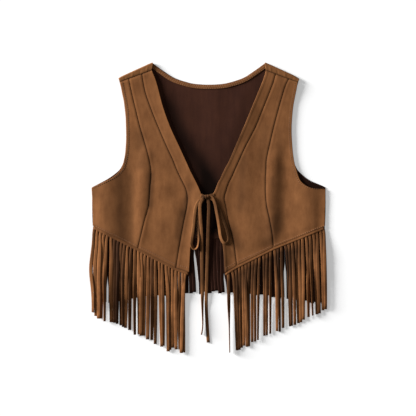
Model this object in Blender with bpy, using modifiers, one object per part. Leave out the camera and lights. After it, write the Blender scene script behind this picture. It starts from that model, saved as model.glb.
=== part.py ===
"""A western vest in suede cloth, laid flat on its back.

The back lies on the surface, and its shoulders roll over to a seam on the front. Each front is a band, a
centre panel and a side panel that lie on the back in soft folds. A fringe hangs from each hem, and two flat
laces tie the fronts in a bow. +X is the wearer's left, +Y is up to the collar and +Z is up from the surface.
Every size is in millimetres, and MM turns it to metres where a mesh is made.
"""

import math

import bmesh
import bpy
import numpy as np

MM = 0.001

# Cloth
CLOTH = 1.4
FACING_CLOTH = 1.0
SEAM_GAP = 0.3
FRINGE_GAP = 0.5
STEPS = 2
SHARP_ANGLE = 40

# Shoulder: where it folds, where the back is sewn to the fronts, and how the seams share that line
FOLD_NECK, FOLD_ARM = (108, 279), (174, 249)
SEAM_NECK, SEAM_ARM = (109, 267), (169, 244)
SEAM_SHARES = (0, 0.31, 0.72, 1)
ROLL_STEPS = 5
STRIP_STEPS = 2

# A front's four lines at each level, from the collar down, as (across, up)
LINES = ("front_edge", "band_seam", "princess_seam", "outer_edge")
RIGHT_FRONT = {
    "collar": ((-100, 239), (-122, 223), (-147, 217), (-166, 217)),
    "upper_chest": ((-88, 194), (-112, 193), (-141, 192), (-161, 192)),
    "armhole": ((-74, 155), (-97, 155), (-132, 155), (-159, 155)),
    "chest": ((-57, 118), (-81, 118), (-121, 118), (-159, 118)),
    "bust": ((-45, 92), (-69, 92), (-114, 91), (-163, 91)),
    "underarm_curve": ((-36, 72), (-61, 72), (-111, 72), (-169, 73)),
    "underarm": ((-28, 56), (-54, 57), (-111, 58), (-183, 59)),
    "armhole_foot": ((-23, 46), (-49, 47), (-112, 47), (-202, 49)),
    "armpit": ((-18, 35), (-44, 36), (-113, 36), (-225, 38)),
    "tie": ((-13, 22), (-41, 20), (-114, 19), (-224, 20)),
    "under_tie": ((-23, 2), (-42, 1), (-116, 1), (-223, 7)),
    "waist": ((-30, -28), (-48, -28), (-123, -24), (-223, -7)),
    "hip": ((-35, -74), (-56, -72), (-130, -53), (-222, -22)),
    "hem": ((-38, -124), (-63, -116), (-136, -78), (-222, -35)),
}
LEFT_FRONT = {
    "collar": ((104, 245), (122, 235), (146, 230), (169, 230)),
    "upper_chest": ((82, 191), (105, 192), (135, 193), (162, 193)),
    "armhole": ((67, 155), (90, 155), (125, 155), (159, 155)),
    "chest": ((51, 118), (71, 118), (117, 121), (160, 123)),
    "bust": ((40, 92), (59, 92), (111, 93), (163, 94)),
    "underarm_curve": ((30, 73), (50, 72), (110, 73), (168, 73)),
    "underarm": ((22, 56), (43, 56), (109, 55), (177, 50)),
    "armhole_foot": ((17, 47), (38, 46), (109, 45), (197, 37.5)),
    "armpit": ((13, 36), (34, 34), (109, 30), (224, 35.5)),
    "tie": ((8, 26), (30, 18), (110, 14), (224, 19)),
    "under_tie": ((12, 1), (33, 1), (112, -1), (224, 6)),
    "waist": ((18, -28), (38, -28), (117, -24), (223, -7)),
    "hip": ((27, -74), (48, -68), (122, -53), (223, -22)),
    "hem": ((31, -125), (54, -111), (124, -76), (222, -36)),
}
CORNERS = {"front_edge": "tie", "outer_edge": "armpit"}
PANELS = {"front_band": 2, "centre_front": 6, "side_front": 9}

# Soft folds that lift a front off the back: each ridge's top point, foot point, half width and height
RIGHT_RIDGES = {
    "shoulder": ((-109, 266), (-170, 244), 26, 2.6),
    "neck_edge": ((-100, 235), (-16, 26), 20, 2.8),
    "placket": ((-16, 26), (-36, -100), 12, 1.6),
    "chest": ((-92, 120), (-86, -70), 26, 1.6),
    "princess": ((-122, 100), (-131, -56), 11, 2.6),
    "side": ((-195, 56), (-192, -40), 24, 2.8),
}
LEFT_RIDGES = {
    "shoulder": ((109, 266), (170, 244), 26, 2.6),
    "neck_edge": ((102, 245), (10, 30), 20, 2.8),
    "placket": ((9, 26), (29, -100), 12, 1.8),
    "chest": ((78, 100), (84, -60), 24, 1.8),
    "princess": ((124, 92), (119, -50), 12, 2.6),
    "side": ((188, 56), (190, -36), 22, 2.6),
}
LEAST_LIFT, MOST_LIFT = 0.3, 3.6
SIDE_SEAM, SIDE_FADE = 225, 26

# The back's centre and neck line, and its side and armhole, from the hem up
BACK_HALF = {
    "hem": ((0, -55), (223, -35)),
    "waist": ((0, -14), (224, -7)),
    "armpit": ((0, 57), (224, 39)),
    "underarm": ((0, 91), (196, 54)),
    "underarm_curve": ((0, 111), (180, 65)),
    "bust": ((0, 130), (169, 76)),
    "chest": ((0, 153), (162, 95)),
    "armhole": ((0, 182), (159, 128)),
    "neck": ((0, 236), (159, 161)),
    "beside_neck": ((14, 236.4), (160, 176)),
    "neck_curve": ((35, 239), (162, 194)),
    "neck_side": ((64, 248), (165, 216)),
    "collar": ((84, 260), (169, 232)),
}
BACK_COLUMNS = 9
BACK_HEM_RISE = 20
FACING_EDGE, FACING_WIDTH = 1.0, 7.5

# Fringe: a strand's share of the pitch, and the strip at its root
FRINGE_CLOTH = 1.2
STRAND_SHARE, END_SHARE = 0.8, 0.62
ROOT_STRIP = 3
FRINGE_INSET = 1
STRAND_STEPS = 4
FRONT_STRANDS, BACK_STRANDS = 28, 64
FLOOR_CLEARANCE, PAST_BACK, BACK_BEND = 0.4, 4, -135

# Where the strands end, from one side to the other
RIGHT_FRINGE_ENDS = ((-222, -207), (-190, -220), (-151, -235), (-94, -262), (-52, -277), (-38, -279))
LEFT_FRINGE_ENDS = ((31, -279), (58, -275), (94, -257), (137, -239), (185, -217), (222, -199))
BACK_FRINGE_ENDS = ((-222, -185), (-155, -174), (-94, -168), (0, -161), (94, -168), (155, -174), (222, -185))
SWAY, SWAY_TURN, SWAY_LAG, END_SCATTER = 2.4, 0.5, 2.0, 3.0
SIDE_BOW, BOWED_STRANDS, BOW_TURN = 6, 3, 0.8
FRONT_LEAN, LEANING_STRANDS = 12, 13

# Laces: flat, tied in a bow, each row a point of its route (across, up, height, roll in degrees)
LACE_WIDTH, LACE_THICKNESS = 6.4, 1.2
KNOT_CENTRE, KNOT_HALF = (-3.4, 20.4, 4.5), (9.0, 3.4, 2.7)
LACES = {
    "tie_loop_right": (
        (-10.6, 20.6, 9.5, 22), (-17.4, 9, 9.9, 22), (-24.5, -12, 9.8, 24), (-29.5, -36, 9.4, 26),
        (-33.6, -58, 9.2, 28), (-33.6, -71, 9.2, 28), (-28.2, -78.4, 9.0, 25), (-21.8, -74, 8.8, 25),
        (-19.6, -60, 8.6, 22), (-18.6, -40, 8.8, 20), (-16.2, -16, 9.4, 20), (-12.4, 6, 9.8, 20),
        (-8.2, 18.0, 9.6, 22),
    ),
    "tie_loop_left": (
        (1.5, 18.2, 9.5, -20), (9.4, 3, 9.7, -20), (15.8, -16, 9.4, -20), (19.6, -38, 9.2, -22),
        (23.0, -58, 9.2, -24), (29.6, -68.6, 9.2, -26), (38.6, -70, 9.2, -26), (43.8, -61, 9.6, -24),
        (41.4, -42, 10.0, -22), (34.6, -22, 10.0, -20), (25.6, -3, 10.0, -20), (15.2, 11, 9.8, -20),
        (4.0, 20.8, 9.5, -20),
    ),
    "tie_end_right": (
        (-9.6, 16.7, 4.2, 90), (-12.2, 4, 2.7, 90), (-12.8, -40, 2.7, 90), (-12.6, -90, 2.7, 90),
        (-12.2, -140, 2.7, 90), (-12.2, -168, 2.7, 84), (-12.6, -188, 2.0, 70), (-13.0, -206, 2.1, 66),
        (-13.2, -228, 1.7, 76), (-14.0, -244, 1.3, 84),
    ),
    "tie_end_left": (
        (-1.4, 16.6, 4.2, 90), (0.2, 4, 2.7, 90), (0.2, -14, 2.7, 90), (-2.4, -48, 2.7, 90),
        (-4.2, -100, 2.7, 90), (-5.4, -140, 2.7, 90), (-5.4, -168, 2.6, 88), (-4.8, -190, 1.3, 88),
        (-3.4, -222, 1.05, 90), (-1.0, -259, 1.05, 90),
    ),
}

SUEDE, SUEDE_FRINGE, SUEDE_BACK = (0.21, 0.10, 0.043), (0.16, 0.075, 0.032), (0.05, 0.021, 0.012)


def through(points, steps, corner=None):
    """Points along a smooth curve through the given ones, steps to a span, with a sharp turn at a corner."""
    points = np.asarray(points, float)
    if corner is not None:
        upper = through(points[: corner + 1], steps)
        return np.vstack([upper[:-1], through(points[corner:], steps)])
    slopes = np.gradient(points, axis=0)
    start, end = points[:-1, None], points[1:, None]
    leave, arrive = slopes[:-1, None], slopes[1:, None]
    t = (np.arange(steps) / steps)[None, :, None]
    spans = (
        (2 * t**3 - 3 * t**2 + 1) * start
        + (t**3 - 2 * t**2 + t) * leave
        + (3 * t**2 - 2 * t**3) * end
        + (t**3 - t**2) * arrive
    )
    return np.vstack([spans.reshape(-1, points.shape[1]), points[-1:]])


def between(first, last, share):
    """The points at these shares of the way from one point to another."""
    first, last = np.asarray(first, float), np.asarray(last, float)
    return first + (last - first) * np.asarray(share, float)[..., None]


def lift(x, y, ridges):
    """Height of a front over the back: ridges added up, held under MOST_LIFT, and none at the side."""
    total = np.full(np.shape(x), LEAST_LIFT, float)
    for top, foot, half_width, height in ridges.values():
        along = np.subtract(foot, top)
        share = ((x - top[0]) * along[0] + (y - top[1]) * along[1]) / np.dot(along, along)
        share = np.clip(share, 0, 1)
        away = np.hypot(x - top[0] - share * along[0], y - top[1] - share * along[1])
        total += height * np.exp(-((away / half_width) ** 2))
    fade = np.clip((SIDE_SEAM - np.abs(x)) / SIDE_FADE, 0, 1)
    fade = fade * fade * (3 - 2 * fade)
    return MOST_LIFT * np.tanh(total / MOST_LIFT) * fade


def front_underside(x, y, ridges):
    return CLOTH + SEAM_GAP + lift(x, y, ridges)


def quads(rows, columns):
    """Faces of a grid of points stored row after row."""
    corner = np.arange(rows * columns).reshape(rows, columns)
    faces = np.stack([corner[:-1, :-1], corner[1:, :-1], corner[1:, 1:], corner[:-1, 1:]], axis=-1)
    return faces.reshape(-1, 4)


def suede(name, colour):
    """A matt suede that several pieces share."""
    found = bpy.data.materials.get(name)
    if found:
        return found
    made = bpy.data.materials.new(name)
    made.use_nodes = True
    shader = made.node_tree.nodes["Principled BSDF"]
    shader.inputs["Base Color"].default_value = (*colour, 1)
    shader.inputs["Roughness"].default_value = 0.9
    shader.inputs["Metallic"].default_value = 0
    return made


def add_object(name, data, material):
    piece = bpy.data.objects.new(name, data)
    data.materials.append(material)
    bpy.data.collections["western_vest"].objects.link(piece)
    return piece


def open_sheet(name, points, faces):
    mesh = bpy.data.meshes.new(name)
    mesh.from_pydata((points.reshape(-1, 3) * MM).tolist(), [], faces.tolist())
    return mesh


def raised_sheet(name, points, faces, thickness, material):
    """Cloth given by its underside, which is carried straight up by its thickness."""
    mesh = open_sheet(name, points, faces)
    shape = bmesh.new()
    shape.from_mesh(mesh)
    raised = bmesh.ops.extrude_face_region(shape, geom=shape.faces[:])
    tops = [item for item in raised["geom"] if isinstance(item, bmesh.types.BMVert)]
    bmesh.ops.translate(shape, verts=tops, vec=(0, 0, thickness * MM))
    bmesh.ops.recalc_face_normals(shape, faces=shape.faces[:])
    shape.to_mesh(mesh)
    shape.free()
    mesh.shade_smooth()
    mesh.set_sharp_from_angle(angle=math.radians(SHARP_ANGLE))
    return add_object(name, mesh, material)


def mirrored_sheet(name, points, faces, thickness, material):
    """Cloth given by one half of its middle surface, open at the centre, then mirrored and thickened."""
    mesh = open_sheet(name, points, faces)
    mesh.shade_smooth()
    piece = add_object(name, mesh, material)
    mirror = piece.modifiers.new("Other half", "MIRROR")
    mirror.merge_threshold = 0.0001
    wall = piece.modifiers.new("Cloth", "SOLIDIFY")
    wall.thickness = thickness * MM
    wall.offset = 0
    wall.use_even_offset = True
    return piece


def front_lines(levels, side):
    """The four lines of a front, each from the shoulder seam down to the hem."""
    neck, arm = (side * SEAM_NECK[0], SEAM_NECK[1]), (side * SEAM_ARM[0], SEAM_ARM[1])
    across = np.subtract(arm, neck) / np.linalg.norm(np.subtract(arm, neck))
    down = np.array([side * across[1], -side * across[0]])
    seam = between(neck, arm, SEAM_SHARES) + down * SEAM_GAP
    names = ["shoulder", *levels]
    lines = {}
    for i, line in enumerate(LINES):
        corner = names.index(CORNERS[line]) if line in CORNERS else None
        lines[line] = through([seam[i], *(row[i] for row in levels.values())], STEPS, corner)
    return lines


def front_panels(side_name, levels, ridges, side):
    """Band, centre and side front, each between two of the front's lines and half a gap in from a seam."""
    lines = front_lines(levels, side)
    edges = [lines[line] for line in LINES]
    for i, (panel, columns) in enumerate(PANELS.items()):
        first, last = edges[i], edges[i + 1]
        width = np.linalg.norm(last - first, axis=1)
        start = 0 if i == 0 else SEAM_GAP / 2 / width
        stop = 1 if i == len(PANELS) - 1 else 1 - SEAM_GAP / 2 / width
        share = start + np.linspace(0, 1, columns + 1)[:, None] * (stop - start)
        flat = first[:, None] + (last - first)[:, None] * share.T[..., None]
        under = front_underside(flat[..., 0], flat[..., 1], ridges)
        points = np.dstack([flat, under])
        raised_sheet(f"{panel}_{side_name}", points, quads(*under.shape), CLOTH, suede("suede", SUEDE))


def back_edges():
    """The back half's centre and neck line, and its side and armhole line, from hem to shoulder fold."""
    along = np.subtract(FOLD_ARM, FOLD_NECK) / np.linalg.norm(np.subtract(FOLD_ARM, FOLD_NECK))
    outward = np.array([-along[1], along[0]])
    reach = outward * (shoulder_radius() + CLOTH / 2)
    names = list(BACK_HALF)
    inner = [row[0] for row in BACK_HALF.values()] + [FOLD_NECK - reach]
    outer = [row[1] for row in BACK_HALF.values()] + [FOLD_ARM - reach]
    inner = through(inner, STEPS, names.index("neck"))
    outer = through(outer, STEPS, names.index("armpit"))
    return inner, outer, outward


def shoulder_radius():
    """Half the height from the middle of the back's cloth to that of the strip rolled over the shoulder."""
    middle = between(SEAM_NECK, SEAM_ARM, 0.5)
    return (front_underside(*middle, LEFT_RIDGES)) / 2


def back_panel():
    """The back: a grid between its two edges, a half turn over the shoulder and a strip down to the seam."""
    inner, outer, outward = back_edges()
    share = np.linspace(0, 1, BACK_COLUMNS + 1)
    flat = inner[:, None] + (outer - inner)[:, None] * share[None, :, None]
    hem_rows = 1 - np.clip(np.arange(len(inner)) / STEPS, 0, 1)
    flat[..., 1] -= hem_rows[:, None] * BACK_HEM_RISE * share * (1 - share)
    middle = CLOTH / 2
    rows = [np.column_stack([row, np.full(len(row), middle)]) for row in flat]
    radius, fold = shoulder_radius(), flat[-1]
    for turn in np.linspace(0, math.pi, ROLL_STEPS + 1)[1:]:
        over = fold + outward * radius * math.sin(turn)
        rows.append(np.column_stack([over, np.full(len(over), middle + radius * (1 - math.cos(turn)))]))
    seam = between(SEAM_NECK, SEAM_ARM, share)
    top = rows[-1]
    foot = np.column_stack([seam, front_underside(*seam.T, LEFT_RIDGES) + CLOTH / 2])
    rows += [top + (foot - top) * step / STRIP_STEPS for step in range(1, STRIP_STEPS + 1)]
    grid = np.array(rows)
    mirrored_sheet("back_panel", grid, quads(*grid.shape[:2]), CLOTH, suede("suede_reverse", SUEDE_BACK))


def back_neck_facing():
    """A narrow strip of the outer suede inside the back neck, moved in from the neck line's own points."""
    inner, _, _ = back_edges()
    neck = inner[list(BACK_HALF).index("neck") * STEPS :]
    slope = np.gradient(neck, axis=0)
    slope /= np.linalg.norm(slope, axis=1)[:, None]
    slope[0] = (1, 0)
    into_cloth = np.column_stack([slope[:, 1], -slope[:, 0]])
    height = np.full(len(neck), CLOTH + SEAM_GAP + FACING_CLOTH / 2)
    sides = [neck + into_cloth * offset for offset in (FACING_EDGE, FACING_EDGE + FACING_WIDTH)]
    grid = np.array([np.column_stack([side, height]) for side in sides])
    mirrored_sheet("back_neck_facing", grid, quads(2, len(neck)), FACING_CLOTH, suede("suede", SUEDE))


def side_fade(number, strands):
    """1 at the outermost strand, falling away over this many strands."""
    return np.exp(-np.abs(number) / strands)


def fringe(name, hem, ends, strands, root_height, heights, bend, lean, material, seed):
    """A comb of strands: a strip along the hem, with every other cell drawn down to the strand's end.

    hem and ends are lines from the vest's right to its left. A strand sways by a sine that turns slowly from
    one strand to the next, so neighbours sway together, and grows slimmer as it twists. heights are its
    underside's, down to the level of its bend and at its end. lean gives how far its end lies to the side.
    """
    hem, ends = np.asarray(hem, float), np.asarray(ends, float)
    low, high = hem[0, 0] + FRINGE_INSET, hem[-1, 0] - FRINGE_INSET
    pitch = (high - low) / (strands - 1 + STRAND_SHARE)
    left = low + pitch * np.arange(strands)
    x = np.column_stack([left, left + pitch * STRAND_SHARE]).ravel()
    top = np.interp(x, hem[:, 0], hem[:, 1]) - FRINGE_GAP
    scatter = np.random.default_rng(seed).uniform(-1, 1, strands).repeat(2) * END_SCATTER
    root, foot = top - ROOT_STRIP, np.interp(x, ends[:, 0], ends[:, 1]) + scatter
    number = np.arange(strands).repeat(2)
    bow = SIDE_BOW * (side_fade(number - strands + 1, BOWED_STRANDS) - side_fade(number, BOWED_STRANDS))
    slim = np.tile([0.5, -0.5], strands) * pitch * (STRAND_SHARE - END_SHARE)
    levels = [root - (root - bend) * step / (STRAND_STEPS - 1) for step in range(STRAND_STEPS)] + [foot]
    undersides = [root_height(x, root)] + [np.full(len(x), heights[0])] * (STRAND_STEPS - 1)
    undersides.append(np.full(len(x), heights[1]))
    rows = [np.column_stack([x, top, root_height(x, top)])]
    for y, z in zip(levels, undersides):
        share = (root - y) / (root - foot)
        sway = SWAY * share * np.sin(SWAY_TURN * number + SWAY_LAG * share)
        bowed = bow * np.sin(BOW_TURN * math.pi * share)
        rows.append(np.column_stack([x + sway + bowed + (slim + lean(number)) * share, y, z]))
    grid = np.array(rows)
    cells = quads(*grid.shape[:2]).reshape(len(rows) - 1, -1, 4)
    faces = np.vstack([cells[0], cells[1:, ::2].reshape(-1, 4)])
    raised_sheet(name, grid, faces, FRINGE_CLOTH, material)


def front_fringe(side_name, levels, ends, ridges, seed):
    """The fringe of one front's hem. It lies on the back's, and past that it drops nearly to the floor."""
    hem = np.array(sorted(levels["hem"]), float)
    heights = (FLOOR_CLEARANCE + FRINGE_CLOTH + SEAM_GAP, FLOOR_CLEARANCE)
    bend = min(up for _, up in BACK_FRINGE_ENDS) - END_SCATTER - PAST_BACK

    def root_height(x, y):
        return front_underside(x, y, ridges)

    def lean(number):
        away = number if side_name == "left" else number - FRONT_STRANDS + 1
        return math.copysign(FRONT_LEAN, hem[0, 0]) * side_fade(away, LEANING_STRANDS)

    material = suede("suede_fringe", SUEDE_FRINGE)
    fringe(f"fringe_{side_name}", hem, ends, FRONT_STRANDS, root_height, heights, bend, lean, material, seed)


def back_fringe():
    """The fringe of the back's hem, seen from its reverse."""
    half = BACK_HALF["hem"][1][0]
    x = np.linspace(-half, half, 2 * BACK_COLUMNS + 1)
    hem = np.column_stack([x, BACK_HALF["hem"][0][1] + BACK_HEM_RISE * (x / half) ** 2])

    def root_height(across, up):
        return np.full(len(across), FLOOR_CLEARANCE)

    def lean(number):
        return np.zeros(len(number))

    heights = (FLOOR_CLEARANCE, FLOOR_CLEARANCE)
    material = suede("suede_reverse", SUEDE_BACK)
    ends = BACK_FRINGE_ENDS
    fringe("fringe_back", hem, ends, BACK_STRANDS, root_height, heights, BACK_BEND, lean, material, 3)


def tie_knot():
    """The knot between the fronts, as one rounded lump."""
    bpy.ops.mesh.primitive_uv_sphere_add(segments=14, ring_count=8, radius=1)
    made = bpy.context.object
    mesh = made.data
    bpy.data.objects.remove(made)
    for vertex in mesh.vertices:
        vertex.co = [(c + h * v) * MM for c, h, v in zip(KNOT_CENTRE, KNOT_HALF, vertex.co)]
    mesh.shade_smooth()
    add_object("tie_knot", mesh, suede("suede_lace", SUEDE))


def lace(name, route):
    """A flat lace: a curve along its route, widened to the lace's width and rolled as it lies."""
    curve = bpy.data.curves.new(name, "CURVE")
    curve.dimensions = "3D"
    curve.twist_mode = "Z_UP"
    curve.extrude = (LACE_WIDTH - LACE_THICKNESS) / 2 * MM
    curve.bevel_depth = LACE_THICKNESS / 2 * MM
    curve.bevel_resolution = 1
    curve.use_fill_caps = True
    spline = curve.splines.new("POLY")
    points = through(route, STEPS)
    spline.points.add(len(points) - 1)
    for made, (x, y, z, roll) in zip(spline.points, points):
        made.co = (x * MM, y * MM, z * MM, 1)
        made.tilt = math.radians(roll)
    add_object(name, curve, suede("suede_lace", SUEDE))


def main():
    for old in list(bpy.data.objects):
        bpy.data.objects.remove(old)
    bpy.context.scene.collection.children.link(bpy.data.collections.new("western_vest"))
    back_panel()
    back_neck_facing()
    front_panels("right", RIGHT_FRONT, RIGHT_RIDGES, -1)
    front_panels("left", LEFT_FRONT, LEFT_RIDGES, 1)
    back_fringe()
    front_fringe("right", RIGHT_FRONT, RIGHT_FRINGE_ENDS, RIGHT_RIDGES, 1)
    front_fringe("left", LEFT_FRONT, LEFT_FRINGE_ENDS, LEFT_RIDGES, 2)
    tie_knot()
    for name, route in LACES.items():
        lace(name, route)


main()
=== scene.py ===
"""Looks of the western vest: brushed suede panels, cut fringe, flat laces and stitching.

Sizes are in millimetres in the part's own frame: +X is the wearer's left, +Y is up to the collar and +Z is up
from the surface that the vest lies on. MM turns them to metres where a mesh is made.
"""

import math

import bmesh
import bpy
import numpy as np
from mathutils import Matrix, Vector


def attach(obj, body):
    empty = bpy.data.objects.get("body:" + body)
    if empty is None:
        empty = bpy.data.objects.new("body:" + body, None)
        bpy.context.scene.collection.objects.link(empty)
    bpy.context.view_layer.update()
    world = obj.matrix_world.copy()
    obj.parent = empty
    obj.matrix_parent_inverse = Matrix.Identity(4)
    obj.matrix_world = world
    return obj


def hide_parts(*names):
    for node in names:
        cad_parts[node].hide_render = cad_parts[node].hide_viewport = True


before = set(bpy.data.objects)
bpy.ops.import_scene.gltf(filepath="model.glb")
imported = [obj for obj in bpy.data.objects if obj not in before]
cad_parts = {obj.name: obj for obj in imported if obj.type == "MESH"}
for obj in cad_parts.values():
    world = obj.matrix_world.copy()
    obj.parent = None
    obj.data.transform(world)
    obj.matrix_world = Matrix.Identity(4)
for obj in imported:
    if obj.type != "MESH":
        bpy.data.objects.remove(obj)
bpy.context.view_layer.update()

MM = 0.001
UP = np.array([0.0, 0.0, 1.0])

# Cloth, as in the part's solids
CLOTH, FACING_CLOTH, FRINGE_CLOTH = 1.4, 1.0, 1.2
SEAM_GAP = 0.3

# Shoulder: where it folds, where the back is sewn to the fronts, and how the seams share that line
FOLD_NECK, FOLD_ARM = (108, 279), (174, 249)
SEAM_NECK, SEAM_ARM = (109.5, 263.5), (170.5, 241)
SEAM_SHARES = (0, 0.31, 0.72, 1)

# A front's four lines at each level, from the collar down, as (across, up)
LINES = ("front_edge", "band_seam", "princess_seam", "outer_edge")
RIGHT_FRONT = {
    "collar": ((-100, 239), (-122, 223), (-147, 217), (-166, 217)),
    "upper_chest": ((-88, 194), (-112, 193), (-141, 192), (-161, 192)),
    "armhole": ((-74, 155), (-97, 155), (-132, 155), (-159, 155)),
    "chest": ((-57, 118), (-81, 118), (-121, 118), (-159, 118)),
    "bust": ((-45, 92), (-69, 92), (-114, 91), (-163, 91)),
    "underarm_curve": ((-36, 72), (-61, 72), (-111, 72), (-169, 73)),
    "underarm": ((-28, 56), (-54, 57), (-111, 58), (-183, 59)),
    "armhole_foot": ((-23, 46), (-49, 47), (-112, 47), (-202, 49)),
    "armpit": ((-18, 35), (-44, 36), (-113, 36), (-225, 38)),
    "tie": ((-13, 22), (-41, 20), (-114, 19), (-224, 20)),
    "under_tie": ((-23, 2), (-42, 1), (-116, 1), (-223, 7)),
    "waist": ((-30, -28), (-48, -28), (-123, -24), (-223, -7)),
    "hip": ((-35, -74), (-56, -72), (-130, -53), (-222, -22)),
    "hem": ((-38, -124), (-63, -116), (-136, -78), (-222, -35)),
}
LEFT_FRONT = {
    "collar": ((104, 245), (122, 235), (146, 230), (169, 230)),
    "upper_chest": ((82, 191), (105, 192), (135, 193), (162, 193)),
    "armhole": ((67, 155), (90, 155), (125, 155), (159, 155)),
    "chest": ((51, 118), (71, 118), (117, 121), (160, 123)),
    "bust": ((40, 92), (59, 92), (111, 93), (163, 94)),
    "underarm_curve": ((30, 73), (50, 72), (110, 73), (168, 73)),
    "underarm": ((22, 56), (43, 56), (109, 55), (177, 50)),
    "armhole_foot": ((17, 47), (38, 46), (109, 45), (197, 37.5)),
    "armpit": ((13, 36), (34, 34), (109, 30), (224, 35.5)),
    "tie": ((8, 26), (30, 18), (110, 14), (224, 19)),
    "under_tie": ((12, 1), (33, 1), (112, -1), (224, 6)),
    "waist": ((18, -28), (38, -28), (117, -24), (223, -7)),
    "hip": ((27, -74), (48, -68), (122, -53), (223, -22)),
    "hem": ((31, -125), (54, -111), (124, -76), (222, -36)),
}
CORNERS = {"front_edge": "tie", "outer_edge": "armpit"}
PANELS = {"front_band": 8, "centre_front": 24, "side_front": 30}

# Soft folds that lift a front off the back: each ridge's top point, foot point, half width and height
RIGHT_RIDGES = (
    ((-109, 266), (-170, 244), 26, 2.6),
    ((-100, 235), (-16, 26), 20, 2.8),
    ((-16, 26), (-36, -100), 12, 1.6),
    ((-92, 120), (-86, -70), 26, 1.6),
    ((-122, 100), (-131, -56), 11, 2.6),
    ((-195, 56), (-192, -40), 24, 2.8),
)
LEFT_RIDGES = (
    ((109, 266), (170, 244), 26, 2.6),
    ((102, 245), (10, 30), 20, 2.8),
    ((9, 26), (29, -100), 12, 1.8),
    ((78, 100), (84, -60), 24, 1.8),
    ((124, 92), (119, -50), 12, 2.6),
    ((188, 56), (190, -36), 22, 2.6),
)
LEAST_LIFT, MOST_LIFT = 0.3, 3.6
# Folds and creases fade out over the last of the way to the side seams
SIDE_SEAM, SIDE_FADE = 225, 26
# Painted highlight, above 0, or painted shade, below 0, on a front's turned edges and on its hem's rim,
# and how far its hem rises
EDGE_RIM = {"right": 0.55, "left": -0.12}
HEM_RIM = {"right": -0.35, "left": -0.2}
HEM_RISE = {"right": 0.9, "left": 0.2}

# Creases in the cloth, over those folds: ridges, or troughs where the height is below 0
RIGHT_CREASES = (
    ((-152, 90), (-150, -60), 12, -0.7),
    ((-100, 190), (-92, 110), 12, -0.35),
    ((-150, 210), (-148, 120), 9, 0.35),
    ((-64, 10), (-64, -70), 10, 0.5),
    ((-212, 26), (-214, -30), 7, 0.4),
)
LEFT_CREASES = (
    ((146, 110), (146, -40), 11, -0.7),
    ((68, 60), (70, -70), 12, 0.4),
    ((92, 120), (84, 20), 12, -0.4),
    ((98, 190), (88, 130), 12, -0.35),
    ((150, 200), (146, 120), 8, 0.35),
)
# Painted shade and highlight in streaks over the fronts, standing for the light and shade of their folds and
# of
# each front as a whole: top point, foot point, half width, share lighter or darker
RIGHT_PAINTED_STREAKS = (
    ((-172, 58), (-166, -64), 12, -0.36),
    ((-152, 60), (-148, -60), 7, -0.22),
    ((-112, 62), (-113, 4), 6, -0.42),
    ((-120, -20), (-122, -60), 7, 0.26),
    ((-156, 240), (-148, 170), 18, 0.3),
    ((-162, 200), (-162, 90), 5, -0.3),
    ((-130, 140), (-130, 80), 9, -0.26),
    ((-88, 60), (-88, -10), 16, 0.12),
    ((-56, 26), (-56, -12), 7, 0.14),
    ((-218, 16), (-217, -24), 8, 0.2),
    ((-208, 34), (-186, -30), 17, -0.13),
    ((-36, 44), (-52, -14), 6, -0.3),
    ((-52, -10), (-60, -56), 7, -0.3),
    ((-104, 100), (-92, 40), 10, -0.06),
    ((-42, 20), (-47, -44), 6, -0.14),
)
LEFT_PAINTED_STREAKS = (
    ((137, 74), (134, -42), 10, -0.22),
    ((130, -20), (118, -70), 13, -0.34),
    ((110, -6), (106, -66), 9, -0.2),
    ((108, 150), (102, 78), 11, -0.24),
    ((122, 56), (121, 0), 6, -0.26),
    ((98, 230), (36, 92), 6, -0.2),
    ((66, 92), (61, 0), 10, -0.34),
    ((138, 150), (137, 106), 7, -0.16),
    ((44, -44), (58, -74), 13, -0.36),
    ((22, -60), (34, -120), 9, -0.36),
    ((120, 250), (104, 200), 14, 0.14),
    ((218, 10), (218, -26), 8, 0.2),
    ((144, 250), (144, 180), 14, -0.08),
    ((176, 90), (170, 60), 10, -0.12),
    ((38, -76), (43, -90), 5, -0.22),
    ((30, 60), (66, 150), 6, -0.12),
    ((58, 136), (16, 44), 4, -0.24),
)
BACK_CREASES = (
    ((-52, 190), (-30, 60), 16, 0.5),
    ((10, 215), (14, 80), 18, 0.6),
    ((62, 215), (40, 120), 14, 0.5),
    ((-12, 60), (-8, -50), 10, 0.4),
)

# The back's centre and neck line, and its side and armhole, from the hem up
BACK_HALF = {
    "hem": ((0, -55), (223, -35)),
    "waist": ((0, -14), (224, -7)),
    "armpit": ((0, 57), (224, 39)),
    "underarm": ((0, 91), (196, 54)),
    "underarm_curve": ((0, 111), (180, 65)),
    "bust": ((0, 130), (169, 76)),
    "chest": ((0, 153), (162, 95)),
    "armhole": ((0, 182), (159, 128)),
    "neck": ((0, 236), (159, 161)),
    "beside_neck": ((14, 236.4), (160, 176)),
    "neck_curve": ((35, 239), (162, 194)),
    "neck_side": ((64, 248), (165, 216)),
    "collar": ((84, 260), (169, 232)),
}
BACK_COLUMNS, NECK_POINTS = 44, 60
# Millimetres from row to row of that table near the hem, and how far the hem's middle is below its ends
HEM_SPEED, BACK_HEM_RISE = 41, 20
# The back's halves are joined where their middle lines' points are this close
WELD = 0.05
# The back's edge under the left arm lies lower than its solid's: how far, where across (middle and half
# width), and how far in that reaches
UNDERARM_SAG, UNDERARM, SAG_REACH = {-1: 0, 1: 3.2}, (190, 20), 22
ROLL_TURNS, STRIP_STEPS = 14, 7
# How far the fold's corners drop, by the neck and by the arm, and how far that reaches
CORNER_DROPS, CORNER_REACH = (0.9, 1.8), 4
# Small tucks across the strip that rolls over each shoulder: share of its width, half width, height
TUCKS = ((0.16, 2.2, 0.35), (0.37, 1.8, -0.3), (0.6, 2.4, 0.35), (0.83, 1.9, -0.3))
# Painted shadow on the back's inner face beside each front's edge: its depth, where it starts to fade and its
# end
RIGHT_SHADE, LEFT_SHADE = (0.76, 12, 41), (0.26, 0, 30)

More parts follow.
